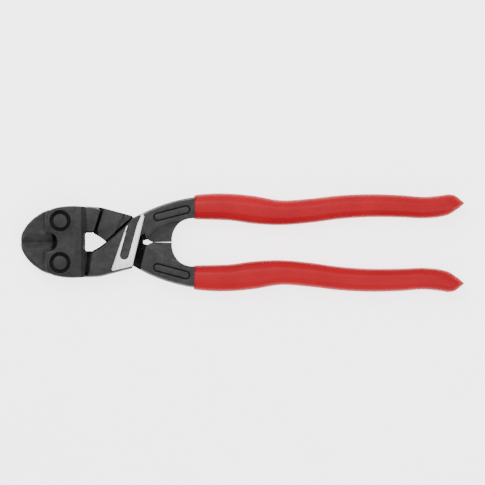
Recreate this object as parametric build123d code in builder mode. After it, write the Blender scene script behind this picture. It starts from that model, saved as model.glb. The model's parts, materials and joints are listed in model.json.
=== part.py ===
"""Compact compound bolt cutters, 200 mm long, closed. Millimetres, head toward -X, +Z up.

The forgings lap at half thickness, so one blank shape serves each mirrored pair of jaws
and handles: the second piece is the first one turned half a turn about the tool's long axis.
"""
import os

from build123d import *

os.makedirs("parts", exist_ok=True)

# ---- heights -------------------------------------------------------------------------
MID = 6.8             # middle layer of the tool above the surface it lies on
LAP_GAP = 0.05        # each lapping half stays this far from the middle layer
PAD_H = 6.8           # half height over the ground pads and rivet collars
LAP_H = 5.9           # half height of the handle forgings
STEP_H = 4.1          # the wedge step's height beyond the middle layer
WEB_H = 2.5           # half height of the low web round the lens hole
TANG_H = 3.9          # half height of the tangs inside the grips
JAW_H = 4.0           # half height of the jaws
EYE_H = 2.9           # top of a jaw's eye above the middle layer
PLATE_IN = 4.05       # inner face of a side plate above the middle layer
PLATE_OUT = 6.5       # outer face of a side plate above the middle layer

# ---- pivots --------------------------------------------------------------------------
JAW_PIVOT = (-82.0, 9.4)
LINK_PIVOT = (-69.0, 10.4)
MAIN_PIVOT = (-52.7, 0.0)
SHANK_R = 2.3
RUNNING_FIT = 0.04    # radial clearance of a turning bore
EYE_R = 4.2
HEAD_R = 3.3
GROOVE_R = 4.8
COLLAR_R = 5.6
LINK_R = 2.2
MAIN_R = 4.2
MAIN_PLAY = 0.15      # radial clearance at the lap joint's pin
HALF_GAP = 0.15       # each neck stays this far from the centre line when closed

HALF_TURN = Axis((0, 0, MID), (1, 0, 0))


def on_side(point, side=1):
    """A point on the upper (side=1) or lower (side=-1) half of the tool."""
    return (point[0], side * point[1])


# ---- jaws: the blank is the lower jaw, its eye and tail lie in the front layer --------
with BuildPart() as jaw_blank:
    # blade block: curved back, straight edge on the centre line
    with BuildSketch(Plane.XY.offset(MID - JAW_H)):
        with BuildLine():
            Spline((-100, -0.04), (-98.5, -5.4), (-95, -9.8), (-91.4, -12.6), (-87.2, -14.45),
                   tangents=((-0.05, -1), (1, -0.3)))
            Line((-87.2, -14.45), (-87.3, -13.3))
            ThreePointArc((-87.3, -13.3), (-90.7, -8.9), (-89.2, -5.6))
            Polyline((-89.2, -5.6), (-89.2, -5.2), (-86.0, -3.3), (-85.2, -0.04), (-100, -0.04))
        make_face()
    extrude(amount=2 * JAW_H)
    # front cheek reaching the side plate, and the thin lip behind over the other jaw's eye
    cheek = [(-92, -3.2), (-88.95, -3.2), (-88.95, -12.4), (-88.5, -13.6), (-92, -11.6)]
    with BuildSketch(Plane.XY.offset(MID + LAP_GAP)):
        with BuildLine():
            Polyline(*cheek, close=True)
        make_face()
    extrude(amount=JAW_H - LAP_GAP)
    with BuildSketch(Plane.XY.offset(MID - JAW_H)):
        with BuildLine():
            Polyline(*cheek, close=True)
        make_face()
    extrude(amount=JAW_H - EYE_H - 0.15)
    # blade bevels, front and back
    for face_side in (1, -1):
        with BuildSketch(Plane.YZ.offset(-101)):
            with BuildLine():
                Polyline((0.5, MID + face_side * 0.1), (-0.04, MID + face_side * 0.1),
                         (-3.7, MID + face_side * JAW_H), (-3.7, MID + face_side * (JAW_H + 1)),
                         (0.5, MID + face_side * (JAW_H + 1)), close=True)
            make_face()
        extrude(amount=17.0, mode=Mode.SUBTRACT)
    # rounded nose edges
    back_edges = jaw_blank.edges().filter_by_position(Axis.X, -99.99, -87.3, (False, False))
    back_edges = back_edges.filter_by(GeomType.BSPLINE).filter_by(lambda e: e.length > 8)
    chamfer(back_edges, 0.55)
    # crossing web, up to the eye at the other side of the centre line
    with BuildSketch(Plane.XY.offset(MID + LAP_GAP)):
        with BuildLine():
            Polyline((-89.0, -3.2), (-89.0, -6.1), (-84.0, -6.3), (-79.5, -5.5), (-77.0, -2.0),
                     (-77.0, 9.4), (-84.4, 9.4), (-84.4, 6.0), (-83.4, 4.0), (-83.4, -0.2),
                     (-85.6, -0.2), (-86.4, -3.2), close=True)
        make_face()
        with Locations(JAW_PIVOT):
            Circle(EYE_R)
    extrude(amount=EYE_H - LAP_GAP)
    # relief at the throat's end
    with BuildSketch(Plane.XY.offset(MID + 0.6)):
        with Locations((-84.3, -1.85)):
            Rectangle(1.7, 3.7)
    extrude(amount=JAW_H, mode=Mode.SUBTRACT)
    # tail, showing beyond the side plate
    with BuildSketch(Plane.XY.offset(MID + LAP_GAP)):
        with BuildLine():
            Line((-74.0, 16.0), (-70.5, 16.0))
            ThreePointArc((-70.5, 16.0), (-67.5, 15.85), (-64.6, 15.3))
            Polyline((-64.6, 15.3), (-64.1, 14.1), (-66.5, 6.4), (-66.9, 5.2), (-67.8, 4.1), (-77.0, 4.1),
                     (-78.2, 12.6), (-76.5, 13.2), (-74.0, 16.0))
        make_face()
    extrude(amount=JAW_H - LAP_GAP)
    # running bore for the rivet, clearance for the rivet of the other jaw
    with BuildSketch(Plane.XY.offset(MID)):
        with Locations(JAW_PIVOT):
            Circle(SHANK_R + RUNNING_FIT)
    extrude(amount=JAW_H + 1, mode=Mode.SUBTRACT)
    with BuildSketch(Plane.XY.offset(MID - JAW_H - 1)):
        with Locations((-82.0, -9.4), (-84.1, -9.25), (-86.0, -8.9)):
            Circle(SHANK_R + 0.36)
    extrude(amount=2 * JAW_H + 2, mode=Mode.SUBTRACT)
    # blind bore for the link pin, open toward the handle's cheek
    with BuildSketch(Plane.XY.offset(MID)):
        with Locations(LINK_PIVOT):
            Circle(LINK_R + RUNNING_FIT)
    extrude(amount=3.1, mode=Mode.SUBTRACT)

with BuildPart() as lower_cutting_jaw:
    add(jaw_blank.part)
with BuildPart() as upper_cutting_jaw:
    add(jaw_blank.part.rotate(HALF_TURN, 180))

# ---- side plates ---------------------------------------------------------------------
with BuildPart() as plate_blank:
    with BuildSketch(Plane.XY.offset(MID + PLATE_IN)):
        with BuildLine():
            Polyline((-88.85, 3.7), (-88.85, 11.8), (-88.4, 13.2), (-87.4, 14.2), (-84.2, 15.35))
            ThreePointArc((-84.2, 15.35), (-79.5, 16.1), (-74.5, 16.2))
            Line((-74.5, 16.2), (-72.0, 16.0))
            ThreePointArc((-72.0, 16.0), (-71.1, 15.55), (-70.8, 14.6))
            Polyline((-70.8, 14.6), (-69.95, 6.2), (-70.2, 5.0), (-71.25, 3.4), (-71.25, 0))
            Line((-71.25, 0), (-83.4, 0))
            ThreePointArc((-83.4, 0), (-84.2, 2.65), (-86.3, 3.7))
            Line((-86.3, 3.7), (-88.85, 3.7))
        make_face()
        mirror(about=Plane.XZ)
    extrude(amount=PLATE_OUT - PLATE_IN)
    # long bevel toward the handles, then an edge break round the rest
    with BuildSketch(Plane.XZ.offset(-20)):
        with BuildLine():
            Polyline((-72.6, MID + PLATE_OUT), (-69.0, MID + PLATE_OUT - 2.0), (-69.0, MID + 8),
                     (-72.6, MID + 8), close=True)
        make_face()
    extrude(amount=40, mode=Mode.SUBTRACT)
    outer_edges = plate_blank.faces().sort_by(Axis.Z)[-1].edges()
    chamfer(outer_edges.filter_by(lambda e: e.center().X < -72.7), 0.5)
    # raised collar and groove round each rivet head
    for side in (1, -1):
        with BuildSketch(Plane.XY.offset(MID + PLATE_OUT - 0.2)):
            with Locations(on_side(JAW_PIVOT, side)):
                Circle(COLLAR_R)
        extrude(amount=PAD_H - PLATE_OUT + 0.2)
        with BuildSketch(Plane.XY.offset(MID + PLATE_OUT - 1.2)):
            with Locations(on_side(JAW_PIVOT, side)):
                Circle(GROOVE_R)
        extrude(amount=2, mode=Mode.SUBTRACT)
        with BuildSketch(Plane.XY.offset(MID + PLATE_OUT - 1.5)):
            with Locations(on_side(JAW_PIVOT, side)):
                Circle(HEAD_R)
        extrude(amount=2, mode=Mode.SUBTRACT)
        with BuildSketch(Plane.XY.offset(MID + PLATE_IN - 1)):
            with Locations(on_side(JAW_PIVOT, side)):
                Circle(SHANK_R)
        extrude(amount=4, mode=Mode.SUBTRACT)

with BuildPart() as front_side_plate:
    add(plate_blank.part)
with BuildPart() as rear_side_plate:
    add(plate_blank.part.rotate(HALF_TURN, 180))

# ---- rivets --------------------------------------------------------------------------
with BuildPart() as rivet_blank:
    with BuildSketch(Plane.XY.offset(MID - PLATE_OUT + 1.5)):
        Circle(SHANK_R)
    extrude(amount=2 * PLATE_OUT - 3.0)
    for face_side in (1, -1):
        with BuildSketch(Plane.XY.offset(MID + face_side * (PLATE_OUT - 1.5))):
            Circle(HEAD_R)
        extrude(amount=face_side * 1.65)
    chamfer(rivet_blank.faces().sort_by(Axis.Z)[-1].edges(), 0.25)
    chamfer(rivet_blank.faces().sort_by(Axis.Z)[0].edges(), 0.25)

with BuildPart() as upper_jaw_rivet:
    with Locations((JAW_PIVOT[0], JAW_PIVOT[1], 0)):
        add(rivet_blank.part)
with BuildPart() as lower_jaw_rivet:
    with Locations((JAW_PIVOT[0], -JAW_PIVOT[1], 0)):
        add(rivet_blank.part)

# ---- handle forgings: the blank is the front handle ------------------------------------
# neck of the handle blank, full thickness from its shoulder to the grip
with BuildPart() as neck_blank:
    with BuildSketch(Plane.XY.offset(MID - LAP_H)):
        with BuildLine():
            Polyline((-43.3, 2.0), (-43.9, 3.6), (-45.6, 10.7), (-45.7, 12.75))
            ThreePointArc((-45.7, 12.75), (-34.0, 17.65), (-21.5, 20.45))
            Line((-21.5, 20.45), (-21.5, 10.85))
            ThreePointArc((-21.5, 10.85), (-25.2, 10.45), (-28.0, 9.2))
            ThreePointArc((-28.0, 9.2), (-30.9, 5.6), (-31.9, HALF_GAP))
            Line((-31.9, HALF_GAP), (-40.4, HALF_GAP))
            ThreePointArc((-40.4, HALF_GAP), (-42.1, 0.8), (-43.3, 2.0))
        make_face()
    extrude(amount=2 * LAP_H)
    back_edges = neck_blank.edges().filter_by(GeomType.CIRCLE).filter_by(lambda e: e.length > 20)
    chamfer(back_edges, 0.9)

with BuildPart() as handle_blank:
    # front half of the lap joint, with the arm below left
    with BuildSketch(Plane.XY.offset(MID + LAP_GAP)):
        with BuildLine():
            ThreePointArc((-70.0, -15.6), (-66.2, -15.8), (-62.5, -15.3))
            Polyline((-62.5, -15.3), (-49.9, -11.9), (-49.3, -10.6), (-46.1, 2.4))
            Polyline((-46.1, 2.4), (-45.5, 3.3), (-44.7, 3.6), (-42.6, 4.4), (-43.0, 10.2),
                     (-45.7, 12.75), (-48.9, 11.2))
            ThreePointArc((-48.9, 11.2), (-55.3, 5.25), (-61.5, 0.0))
            ThreePointArc((-61.5, 0.0), (-64.3, -2.15), (-67.0, -3.7))
            Polyline((-67.0, -3.7), (-68.5, -5.6), (-69.2, -13.2), (-70.0, -15.6))
        make_face()
    extrude(amount=LAP_H - LAP_GAP)
    lap_edges = handle_blank.faces().sort_by(Axis.Z)[-1].edges()
    chamfer(lap_edges.filter_by_position(Axis.X, -75, -46.5), 0.7)
    # rear half: wedge of the arm
    with BuildSketch(Plane.XY.offset(MID - LAP_H)):
        with BuildLine():
            Polyline((-65.1, -5.7), (-64.9, -3.1), (-61.6, -0.55), (-57.7, -4.0), (-53.3, -12.6),
                     (-62.3, -15.05), (-62.5, -14.1), close=True)
        make_face()
    extrude(amount=LAP_H + 0.2)
    # the wedge is filled up to a step, which passes under the other handle's flank
    with BuildSketch(Plane.XY.offset(MID - STEP_H)):
        with BuildLine():
            Polyline((-58.2, -3.9), (-52.9, -8.8), (-50.5, -10.6), (-50.3, -11.7), (-53.3, -12.5),
                     (-57.6, -6.0), close=True)
        make_face()
    extrude(amount=STEP_H + 0.2)
    with BuildSketch(Plane.XY.offset(MID)):
        with BuildLine():
            Polyline((-58.6, 2.6), (-58.6, 6.0), (-52.0, 13.4), (-48.2, 13.4), (-46.0, 9.6), (-46.1, 8.3),
                     (-55.4, 4.9), close=True)
        make_face()
    extrude(amount=STEP_H + 0.15, mode=Mode.SUBTRACT)
    add(neck_blank.part)
    # low web round the lens hole, its left edge an arc about the main pivot
    with BuildSketch(Plane.XY.offset(MID - WEB_H)):
        with BuildLine():
            ThreePointArc((-40.4, HALF_GAP), (-42.5, 1.1), (-44.77, 0.6))
            ThreePointArc((-44.77, 0.6), (-44.99, 1.92), (-45.44, 3.23))
            Polyline((-45.44, 3.23), (-44.3, 4.6), (-42.0, 4.0), (-39.0, 2.0), (-39.0, HALF_GAP),
                     (-40.4, HALF_GAP))
        make_face()
    extrude(amount=2 * WEB_H)
    # ground pad proud of the lap, with a blank recess
    pad = [(-52.3, 7.0), (-50.6, 8.6), (-44.6, 12.9), (-44.2, 11.2), (-49.3, -10.3), (-50.0, -10.9),
           (-58.4, -12.9), (-58.8, -12.2)]
    with BuildSketch(Plane.XY.offset(MID + LAP_H - 0.3)):
        with BuildLine():
            Polyline(*pad, close=True)
        make_face()
    extrude(amount=PAD_H - LAP_H + 0.3)
    chamfer(handle_blank.faces().sort_by(Axis.Z)[-1].edges(), 0.3)
    with BuildSketch(Plane.XY.offset(MID + LAP_H - 0.3)):
        with Locations((-50.95, 2.05)):
            SlotOverall(20.6, 4.1, rotation=75)
        with BuildLine():
            Polyline((-52.8, 4.6), (-47.0, 12.4), (-45.6, 11.8), (-49.0, 4.0), close=True)
        make_face()
    extrude(amount=2, mode=Mode.SUBTRACT)
    for face_side in (1, -1):
        # recessed gripping facet beside the centre line
        with BuildSketch(Plane.XY.offset(MID + face_side * (LAP_H - 1.2))):
            with BuildLine():
                Polyline((-43.4, 0.0), (-42.7, 2.8), (-37.7, 6.7), (-30.7, 9.4), (-28.0, 9.4),
                         (-28.0, 0.0), close=True)
            make_face()
        extrude(amount=face_side * 3, mode=Mode.SUBTRACT)
        # oblong outline groove on the neck
        with BuildSketch(Plane.XY.offset(MID + face_side * (LAP_H - 0.6))):
            with Locations((-31.8, 13.05)):
                SlotOverall(17.2, 4.0, rotation=14.7)
                SlotOverall(15.8, 2.6, rotation=14.7, mode=Mode.SUBTRACT)
        extrude(amount=face_side * 2, mode=Mode.SUBTRACT)
    # tang inside the grip
    with BuildSketch(Plane.XY.offset(MID - TANG_H)):
        with BuildLine():
            Spline((-22.0, 20.0), (-14.0, 20.4), (3.4, 19.4), (19.0, 17.2), (35.0, 18.6), (53.0, 20.1),
                   (70.0, 19.9), (88.0, 19.0), tangents=((1, 0.1), (1, 0)))
            ThreePointArc((88.0, 19.0), (90.6, 16.3), (88.0, 13.6))
            Spline((88.0, 13.6), (70.0, 13.4), (53.0, 13.2), (35.0, 11.5), (17.0, 9.7), (3.4, 10.5),
                   (-10.0, 11.7), (-22.0, 11.4), tangents=((-1, 0), (-1, -0.1)))
            Line((-22.0, 11.4), (-22.0, 20.0))
        make_face()
    extrude(amount=2 * TANG_H)
    # tongue under the side plate, round the link pin
    with BuildSketch(Plane.XY.offset(MID + LAP_GAP)):
        with Locations(on_side(LINK_PIVOT, -1)):
            Circle(3.7)
    extrude(amount=3.8 - LAP_GAP)
    # blind press-fit bore for the link pin
    with BuildSketch(Plane.XY.offset(MID)):
        with Locations(on_side(LINK_PIVOT, -1)):
            Circle(LINK_R)
    extrude(amount=3.1, mode=Mode.SUBTRACT)

with BuildPart() as front_handle_forging:
    add(handle_blank.part)
    # running bore of the lap joint's pin
    with BuildSketch(Plane.XY.offset(MID)):
        with Locations(MAIN_PIVOT):
            Circle(MAIN_R + MAIN_PLAY)
    extrude(amount=5.2, mode=Mode.SUBTRACT)
with BuildPart() as rear_handle_forging:
    add(handle_blank.part.rotate(HALF_TURN, 180))
    # round cheek closing the lap joint behind the front handle's edge, cut back from its wedge
    with BuildSketch(Plane.XY.offset(MID - 4.5)):
        with Locations(MAIN_PIVOT):
            Circle(7.8)
        with Locations((MAIN_PIVOT[0] + 2.2, MAIN_PIVOT[1])):
            Rectangle(16, 16, align=(Align.MAX, Align.CENTER), mode=Mode.SUBTRACT)
    extrude(amount=4.5 - LAP_GAP)
    with BuildSketch(Plane.XY.offset(MID - 5.0)):
        with Locations(MAIN_PIVOT):
            Circle(MAIN_R)
    extrude(amount=5.0, mode=Mode.SUBTRACT)

# ---- pins ----------------------------------------------------------------------------
with BuildPart() as main_pivot_pin:
    with BuildSketch(Plane.XY.offset(MID - 5.0)):
        with Locations(MAIN_PIVOT):
            Circle(MAIN_R)
    extrude(amount=10.0)
with BuildPart() as rear_link_pin:
    with BuildSketch(Plane.XY.offset(MID - 3.1)):
        with Locations(LINK_PIVOT):
            Circle(LINK_R)
    extrude(amount=6.0)
with BuildPart() as front_link_pin:
    with BuildSketch(Plane.XY.offset(MID - 2.9)):
        with Locations(on_side(LINK_PIVOT, -1)):
            Circle(LINK_R)
    extrude(amount=6.0)

# ---- grips: a plastic sleeve over each tang --------------------------------------------
# station along the tool, inner edge, outer edge, height, corner radius
GRIP_STATIONS = [
    (-21.9, 10.3, 21.5, 12.2, 3.0),
    (-14.0, 10.15, 22.2, 12.6, 3.4),
    (-5.6, 9.8, 22.2, 12.6, 3.8),
    (5.0, 8.4, 21.2, 12.6, 3.8),
    (17.0, 7.8, 19.2, 12.6, 3.8),
    (30.5, 8.9, 20.0, 12.6, 3.8),
    (44.0, 10.7, 21.5, 12.6, 3.8),
    (58.0, 11.6, 22.1, 12.6, 3.8),
    (71.0, 11.5, 21.8, 12.6, 3.8),
    (83.0, 11.1, 21.0, 12.6, 3.4),
    (89.2, 11.7, 21.7, 12.4, 3.2),
    (93.7, 13.1, 22.2, 11.8, 3.0),
    (96.6, 14.9, 21.3, 10.4, 2.6),
    (98.4, 16.5, 19.7, 7.0, 1.4),
]
with BuildPart() as grip_blank:
    for x, inner, outer, height, corner in GRIP_STATIONS:
        with BuildSketch(Plane.YZ.offset(x)):
            with Locations(((inner + outer) / 2, MID)):
                RectangleRounded(outer - inner, height, corner)
    loft()
    # end nub
    with BuildSketch(Plane.YZ.offset(98.0)):
        with Locations((18.1, MID)):
            RectangleRounded(2.2, 5.0, 0.9)
    extrude(amount=2.0)

with BuildPart() as upper_grip:
    add(grip_blank.part)
    add(handle_blank.part, mode=Mode.SUBTRACT)
with BuildPart() as lower_grip:
    add(grip_blank.part.rotate(HALF_TURN, 180))
    add(handle_blank.part.rotate(HALF_TURN, 180), mode=Mode.SUBTRACT)

NODES = {
    "front_side_plate": front_side_plate,
    "rear_side_plate": rear_side_plate,
    "upper_jaw_rivet": upper_jaw_rivet,
    "lower_jaw_rivet": lower_jaw_rivet,
    "upper_cutting_jaw": upper_cutting_jaw,
    "lower_cutting_jaw": lower_cutting_jaw,
    "front_handle_forging": front_handle_forging,
    "rear_handle_forging": rear_handle_forging,
    "main_pivot_pin": main_pivot_pin,
    "front_link_pin": front_link_pin,
    "rear_link_pin": rear_link_pin,
    "upper_grip": upper_grip,
    "lower_grip": lower_grip,
}
for label, node in NODES.items():
    node.part.label = label
    export_step(node.part, f"parts/{label}.step")
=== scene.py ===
"""Compact bolt cutters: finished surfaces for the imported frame, studio floor, lights and camera."""
import json
import math

import bmesh
import bpy
import numpy as np
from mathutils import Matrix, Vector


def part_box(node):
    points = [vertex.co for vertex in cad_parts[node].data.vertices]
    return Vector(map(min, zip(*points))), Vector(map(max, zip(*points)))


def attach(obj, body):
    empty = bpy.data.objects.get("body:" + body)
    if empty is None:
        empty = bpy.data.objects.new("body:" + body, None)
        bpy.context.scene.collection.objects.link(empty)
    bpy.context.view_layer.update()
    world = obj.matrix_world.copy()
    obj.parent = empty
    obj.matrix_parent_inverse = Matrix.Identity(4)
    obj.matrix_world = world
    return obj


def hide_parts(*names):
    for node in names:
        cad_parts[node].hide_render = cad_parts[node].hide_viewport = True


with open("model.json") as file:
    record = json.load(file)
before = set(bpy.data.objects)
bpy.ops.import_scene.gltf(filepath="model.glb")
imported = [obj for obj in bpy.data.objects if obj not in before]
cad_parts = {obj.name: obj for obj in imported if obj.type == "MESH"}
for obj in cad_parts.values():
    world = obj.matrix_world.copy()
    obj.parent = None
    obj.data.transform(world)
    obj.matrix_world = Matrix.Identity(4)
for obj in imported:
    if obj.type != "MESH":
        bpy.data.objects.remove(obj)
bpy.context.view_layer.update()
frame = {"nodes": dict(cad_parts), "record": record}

MM = 0.001
top_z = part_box("front_handle_forging")[1].z     # the ground pad's face
mid_z = top_z / 2
body_of = {node: body for body, nodes in frame["record"]["behaviour"]["bodies"].items() for node in nodes}


# ---- materials -----------------------------------------------------------------------
def shader(name, color, metallic, roughness):
    """A new material, with its node tree, its shader and the object position its textures use."""
    mat = bpy.data.materials.new(name)
    mat.use_nodes = True
    tree = mat.node_tree
    bsdf = tree.nodes["Principled BSDF"]
    bsdf.inputs["Base Color"].default_value = (*color, 1)
    bsdf.inputs["Metallic"].default_value = metallic
    bsdf.inputs["Roughness"].default_value = roughness
    where = tree.nodes.new("ShaderNodeTexCoord").outputs["Object"]
    return mat, tree, bsdf, where


def noise(tree, where, scale, stretch=(1, 1, 1), detail=6.0):
    """Noise over the object's own space, scale in cells per metre, stretched along an axis."""
    mapping = tree.nodes.new("ShaderNodeMapping")
    mapping.inputs["Scale"].default_value = stretch
    tree.links.new(where, mapping.inputs["Vector"])
    texture = tree.nodes.new("ShaderNodeTexNoise")
    texture.inputs["Scale"].default_value = scale
    texture.inputs["Detail"].default_value = detail
    tree.links.new(mapping.outputs["Vector"], texture.inputs["Vector"])
    return texture.outputs["Fac"]


def ramp(tree, factor, low_value, high_value):
    """Maps the middle of a noise's range to colours or grey levels between two values."""
    node = tree.nodes.new("ShaderNodeValToRGB")
    node.color_ramp.elements[0].position = 0.35
    node.color_ramp.elements[1].position = 0.65
    node.color_ramp.elements[0].color = (*low_value, 1)
    node.color_ramp.elements[1].color = (*high_value, 1)
    tree.links.new(factor, node.inputs["Fac"])
    return node.outputs["Color"]


def bump(tree, bsdf, heights, distance):
    """Chains bumps, one for each height and strength, into the shader's normal."""
    normal = None
    for height, strength in heights:
        node = tree.nodes.new("ShaderNodeBump")
        node.inputs["Strength"].default_value = strength
        node.inputs["Distance"].default_value = distance
        tree.links.new(height, node.inputs["Height"])
        if normal:
            tree.links.new(normal, node.inputs["Normal"])
        normal = node.outputs["Normal"]
    tree.links.new(normal, bsdf.inputs["Normal"])


def steel(name, grey, roughness, metallic=0.45, specular=0.3, grain_along="Y", grain_depth=0.12):
    """Dark oxide steel: mottled grey, fine pitting and a grinding grain."""
    mat, tree, bsdf, where = shader(name, (grey, grey, grey * 1.03), metallic, roughness)
    bsdf.inputs["Specular IOR Level"].default_value = specular
    mottle = noise(tree, where, 260)
    dark, light = grey * 0.82, grey * 1.22
    tree.links.new(ramp(tree, mottle, (dark, dark, dark * 1.04), (light, light, light * 1.02)),
                   bsdf.inputs["Base Color"])
    stretch = (1, 0.06, 1) if grain_along == "Y" else (0.06, 1, 1)
    grain = noise(tree, where, 1500, stretch, 3)
    rough = (roughness - 0.07,) * 3, (roughness + 0.09,) * 3
    tree.links.new(ramp(tree, noise(tree, where, 700), *rough), bsdf.inputs["Roughness"])
    bump(tree, bsdf, ((noise(tree, where, 3200), 0.10), (grain, grain_depth)), 0.00006)
    return mat


def ground_steel(name):
    """Bright surface-ground steel with a fine cross grain."""
    mat, tree, bsdf, where = shader(name, (0.86, 0.86, 0.85), 0.35, 0.42)
    grain = noise(tree, where, 2600, (1, 0.12, 1), 4)
    tree.links.new(ramp(tree, grain, (0.74, 0.74, 0.73), (0.97, 0.97, 0.96)), bsdf.inputs["Base Color"])
    tree.links.new(ramp(tree, grain, (0.34,) * 3, (0.52,) * 3), bsdf.inputs["Roughness"])
    bump(tree, bsdf, ((grain, 0.25), (noise(tree, where, 4200), 0.10)), 0.00005)
    return mat


def plastic(name, color):
    """Dipped plastic: slight colour variation, low gloss, fine orange peel."""
    mat, tree, bsdf, where = shader(name, color, 0.0, 0.42)
    bsdf.inputs["Specular IOR Level"].default_value = 0.12
    tint = noise(tree, where, 60, detail=3)
    deep = tuple(c * 0.93 for c in color)
    pale = tuple(c * 1.06 for c in color)
    tree.links.new(ramp(tree, tint, deep, pale), bsdf.inputs["Base Color"])
    tree.links.new(ramp(tree, noise(tree, where, 900), (0.37,) * 3, (0.48,) * 3), bsdf.inputs["Roughness"])
    bump(tree, bsdf, ((noise(tree, where, 1100, detail=2), 0.10), (noise(tree, where, 5200), 0.05)), 0.00008)
    return mat


FINISH = {
    "plate_steel": steel("plate_steel", 0.020, 0.50, grain_depth=0.30),
    "jaw_steel": steel("jaw_steel", 0.021, 0.46),
    "rivet_steel": steel("rivet_steel", 0.019, 0.47),
    "forged_steel": steel("forged_steel", 0.026, 0.52, grain_along="X"),
    "pin_steel": steel("pin_steel", 0.30, 0.32, metallic=0.9),
    "grip_plastic": plastic("grip_plastic", (0.38, 0.005, 0.012)),
}
# finishes of single faces; a steel piece's material slots hold its own steel, then these
FACE_FINISHES = (
    ground_steel("ground_steel"),
    # lighter grey steel for the back bevels: a painted highlight standing in for the bevels' bright
    # reflection
    steel("bevel_highlight_steel", 0.12, 0.36, metallic=0.9, grain_along="X"),
    # near-black steel with low specular: painted shade for the recess floors and the heart hole's chamfer
    steel("recess_shade_steel", 0.007, 0.65, metallic=0.1, specular=0.08),
    steel("blade_steel", 0.050, 0.40, metallic=0.3),
)
OXIDE, GROUND, BEVEL_HIGHLIGHT, SHADE_IN_RECESS, BLADE = range(5)
slot_of = {part["node"]: part["material_slot"] for part in frame["record"]["subparts"]}


# ---- steel pieces: the CAD shapes with their edges broken ------------------------------
# rounding of a steel's edges and chamfer of its rim, in mm
EDGE = {"plate_steel": (0.10, 0), "jaw_steel": (0.05, 0.7), "rivet_steel": (0.15, 0),
        "forged_steel": (0.20, 0)}
# heights of the recess floors from the middle layer, in mm; these floors get painted shade
SHADED_RECESS_LEVELS = {"plate_steel": [(5.2, 5.4)], "jaw_steel": [(0.0, 3.0)], "rivet_steel": [],
                 "forged_steel": [(0.0, 4.0), (5.2, 5.4)]}
WELD = 0.004 * MM           # doubled points of the CAD mesh are this near each other
FLAT = math.radians(0.8)    # faces that turn less than this are one face
SHARP = math.radians(24)    # edges that turn more than this are rounded
CREASE = math.radians(22)   # edges that turn more than this are shaded sharp
RIM_Y = 15 * MM             # edges further out than this are the jaw tails' outer rim
BACK_Y = 9 * MM             # bevels further out than this are on the tool's back
BLADE_Y = 4 * MM            # the blades' bevels lie inside this
CLOSED_GAP = 0.2 * MM       # points this near the centre line meet their mirror image when closed,
CLOSED_X = -35 * MM         # on the blades and beside the lens hole
PAD_LEVEL = 0.65 * MM       # the ground pads' faces and bevels lie this near the top
HEART_X = (-78 * MM, -60.5 * MM)    # the heart-shaped hole's edge lies between these,
HEART_Y = 4.6 * MM                  # inside this,
HEART_LEVEL = 3.3 * MM              # and this far from the middle layer or further


def by_heart_hole(point):
    """Whether a point lies on an outer face's edge round the hole between plates and handles."""
    level = abs(point.z - mid_z)
    return HEART_X[0] < point.x < HEART_X[1] and abs(point.y) < HEART_Y and level > HEART_LEVEL


def on_rim(edge):
    """Whether a sharp edge gets the rim's chamfer: the tails' outside, or round the heart hole."""
    if not edge.is_manifold or edge.calc_face_angle() <= SHARP:
        return False
    points = [vert.co for vert in edge.verts]
    return all(abs(point.y) > RIM_Y for point in points) or all(by_heart_hole(point) for point in points)


def finished_copy(node, edge_width, rim_width):
    """A copy of a CAD node: edges rounded, rim chamfered, closed halves drawn together."""
    piece = frame["nodes"][node].copy()
    piece.data = frame["nodes"][node].data.copy()
    piece.name = node + "_finish"
    bpy.context.scene.collection.objects.link(piece)
    mesh = bmesh.new()
    mesh.from_mesh(piece.data)
    bmesh.ops.remove_doubles(mesh, verts=mesh.verts, dist=WELD)
    bmesh.ops.dissolve_limit(mesh, angle_limit=FLAT, verts=mesh.verts, edges=mesh.edges)
    for vert in mesh.verts:
        if abs(vert.co.y) < CLOSED_GAP and vert.co.x < CLOSED_X:
            vert.co.y = 0
    if rim_width:
        rim = [edge for edge in mesh.edges if on_rim(edge)]
        bmesh.ops.bevel(mesh, geom=rim, offset=rim_width, segments=1, affect="EDGES", clamp_overlap=False)
    mesh.to_mesh(piece.data)
    mesh.free()
    bevel = piece.modifiers.new("edges", "BEVEL")
    bevel.width = edge_width
    bevel.segments = 3
    bevel.limit_method = "ANGLE"
    bevel.angle_limit = SHARP
    bevel.use_clamp_overlap = True
    bpy.context.view_layer.update()
    rounded = bpy.data.meshes.new_from_object(piece.evaluated_get(bpy.context.evaluated_depsgraph_get()))
    piece.modifiers.clear()
    piece.data = rounded
    rounded.shade_smooth()
    rounded.set_sharp_from_angle(angle=CREASE)
    rounded.materials.clear()
    for finish in (FINISH[slot_of[node]], *FACE_FINISHES):
        rounded.materials.append(finish)
    return piece


def stand_in(piece, node):
    """Shows a piece in place of a CAD node, on that node's body."""
    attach(piece, body_of[node])
    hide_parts(node)


def outer_bevel(face):
    """Whether a face is a bevel on the tool's back edges, which gets lighter steel as a painted highlight."""
    slant = 0.35 < abs(face.normal.z) < 0.9
    outward = face.normal.y * face.center.y > 0 and abs(face.normal.y) > 0.55
    return slant and outward and abs(face.center.y) > BACK_Y


def shaded_heart_chamfer(face):
    """Whether a face is part of the chamfer round the heart-shaped hole, which gets painted shade."""
    return abs(face.normal.z) < 0.9 and by_heart_hole(face.center)


def blade_bevel(face):
    """Whether a face is one of the two ground bevels that meet at a cutting edge."""
    inward = face.normal.y * face.center.y < 0 and abs(face.normal.y) > 0.5
    return inward and abs(face.normal.z) > 0.5 and abs(face.center.y) < BLADE_Y


def recessed(face, slot):
    """Whether a face is a flat recess floor, which gets near-black steel as painted shade."""
    level = abs(face.center.z - mid_z) / MM
    return abs(face.normal.z) > 0.9 and any(start < level < stop for start, stop in SHADED_RECESS_LEVELS[slot])


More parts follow.
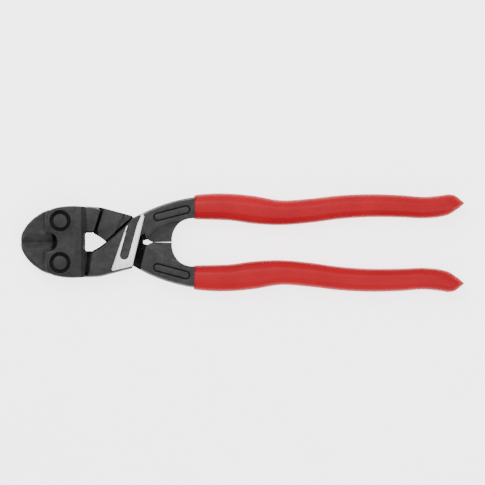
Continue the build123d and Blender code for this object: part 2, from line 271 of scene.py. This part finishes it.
def face_finish(face, slot):
    """Which of the piece's material slots a face takes."""
    if slot == "forged_steel" and abs(face.center.z - mid_z) > mid_z - PAD_LEVEL:
        return GROUND
    # back bevels: lighter steel, a painted highlight
    if slot != "rivet_steel" and outer_bevel(face):
        return BEVEL_HIGHLIGHT
    # recess floors and the heart hole's chamfer: near-black steel, painted shade
    if recessed(face, slot) or (slot != "plate_steel" and shaded_heart_chamfer(face)):
        return SHADE_IN_RECESS
    if slot == "jaw_steel" and blade_bevel(face):
        return BLADE
    return OXIDE


for node, slot in slot_of.items():
    if slot in EDGE:
        piece = finished_copy(node, *(width * MM for width in EDGE[slot]))
        for face in piece.data.polygons:
            face.material_index = face_finish(face, slot)
        stand_in(piece, node)
    elif slot == "pin_steel":
        frame["nodes"][node].data.materials.clear()
        frame["nodes"][node].data.materials.append(FINISH[slot])


# ---- grips: a moulded sleeve with a raised band along both faces -----------------------
# station along the tool, inner edge, outer edge, height, in mm
STATIONS = np.array([
    (-21.9, 10.35, 21.45, 12.0), (-14.0, 10.15, 22.1, 12.5), (-5.6, 9.8, 22.1, 12.6), (5.0, 8.4, 21.15, 12.6),
    (17.0, 7.85, 19.2, 12.6), (30.5, 8.9, 20.0, 12.6), (44.0, 10.7, 21.5, 12.6), (58.0, 11.6, 22.1, 12.6),
    (71.0, 11.5, 21.75, 12.6), (83.0, 11.15, 21.0, 12.5), (89.2, 11.8, 21.6, 12.2), (93.7, 13.1, 22.1, 11.4),
    (96.2, 14.8, 21.4, 9.9), (97.8, 15.9, 20.2, 7.8), (98.9, 16.9, 19.3, 5.6), (99.6, 17.5, 18.7, 4.0),
    (100.0, 17.9, 18.3, 2.6),
])
# one quarter of the section, as fractions of half width and half height
SECTION = np.array([(0.0, 1.0), (0.2, 0.998), (0.38, 0.985), (0.47, 0.95), (0.56, 0.895), (0.70, 0.83),
                    (0.84, 0.72), (0.94, 0.54), (0.99, 0.28), (1.0, 0.0)])


def through(stations, values, x):
    """Smooth curve through stations, by cubic pieces with finite-difference slopes."""
    slope = np.gradient(values, stations)
    i = np.clip(np.searchsorted(stations, x) - 1, 0, len(stations) - 2)
    h = stations[i + 1] - stations[i]
    t = (x - stations[i]) / h
    return ((1 + 2 * t) * (1 - t) ** 2 * values[i] + t * (1 - t) ** 2 * h * slope[i]
            + t * t * (3 - 2 * t) * values[i + 1] + t * t * (t - 1) * h * slope[i + 1])


def grip(name, side):
    """One sleeve, above (side=1) or below (side=-1) the tool's long axis."""
    half = np.vstack([SECTION, SECTION[-2::-1] * (1, -1)])
    ring = np.vstack([half, half[-2:0:-1] * (-1, 1)])
    mouth_x, tip_x = STATIONS[0, 0], STATIONS[-1, 0]
    # rings about 1 mm apart, closer toward the tip
    x = np.concatenate([np.linspace(mouth_x, 92.0, 115), np.linspace(92.6, tip_x, 24)])
    inner, outer, height = (through(STATIONS[:, 0], STATIONS[:, k], x) for k in (1, 2, 3))
    middle, width = (inner + outer) / 2, (outer - inner) / 2
    # the mouth's edge is rounded over its first millimetre
    shrink = 1 - 0.045 * (1 - np.clip(x - mouth_x, 0, 1)) ** 2
    mesh = bmesh.new()
    rings = []
    for k in range(len(x)):
        rings.append([mesh.verts.new((x[k] * MM, side * (middle[k] + u * width[k] * shrink[k]) * MM,
                                      mid_z + v * height[k] / 2 * shrink[k] * MM)) for u, v in ring])
    for a, b in zip(rings, rings[1:]):
        for k in range(len(ring)):
            j = (k + 1) % len(ring)
            mesh.faces.new((a[k], a[j], b[j], b[k]))
    mesh.faces.new(rings[0])
    mesh.faces.new(rings[-1])
    bmesh.ops.recalc_face_normals(mesh, faces=mesh.faces)
    data = bpy.data.meshes.new(name)
    mesh.to_mesh(data)
    mesh.free()
    data.shade_smooth()
    data.set_sharp_from_angle(angle=math.radians(50))
    data.materials.append(FINISH["grip_plastic"])
    piece = bpy.data.objects.new(name, data)
    bpy.context.scene.collection.objects.link(piece)
    return piece


stand_in(grip("upper_grip_sleeve", 1), "upper_grip")
stand_in(grip("lower_grip_sleeve", -1), "lower_grip")


# ---- floor, lights and camera ----------------------------------------------------------
def paper(name):
    """Matte white studio paper, lit from within like a light table."""
    mat, tree, bsdf, where = shader(name, (0.93, 0.93, 0.93), 0.0, 0.9)
    bsdf.inputs["Emission Color"].default_value = (1, 1, 1, 1)
    bsdf.inputs["Emission Strength"].default_value = 2.8
    tree.links.new(ramp(tree, noise(tree, where, 40), (0.92,) * 3, (0.95,) * 3), bsdf.inputs["Base Color"])
    return mat


FLOOR_GAP = 0.2 * MM        # keeps the floor clear of the tool's lowest faces
bpy.ops.mesh.primitive_plane_add(size=4, location=(0, 0, -FLOOR_GAP))
floor = bpy.context.object
floor.name = "floor"
floor.data.materials.append(paper("paper"))

world = bpy.data.worlds.new("studio")
world.use_nodes = True
world.node_tree.nodes["Background"].inputs["Color"].default_value = (1, 1, 1, 1)
world.node_tree.nodes["Background"].inputs["Strength"].default_value = 0.45
bpy.context.scene.world = world


def softbox(name, position, size, power):
    """A square area light aimed at the tool, its power in watts."""
    light = bpy.data.lights.new(name, "AREA")
    light.size = size
    light.energy = power
    lamp = bpy.data.objects.new(name, light)
    bpy.context.scene.collection.objects.link(lamp)
    lamp.location = position
    lamp.rotation_euler = (-lamp.location).to_track_quat("-Z", "Y").to_euler()


softbox("key", (-0.20, 0.40, 0.85), 0.6, 9)
softbox("fill", (0.35, -0.35, 0.85), 0.7, 6)

FRAME_WIDTH = 0.219         # what the view spans at the tool's middle layer, in metres
DISTANCE = 1.3
SENSOR = 36
ROLL = math.radians(0.2)
camera = bpy.data.cameras.new("camera")
camera.sensor_width = SENSOR
camera.lens = SENSOR * DISTANCE / FRAME_WIDTH
eye = bpy.data.objects.new("camera", camera)
bpy.context.scene.collection.objects.link(eye)
eye.location = (0, 0, DISTANCE + mid_z)
eye.rotation_euler = (0, 0, ROLL)
bpy.context.scene.camera = eye
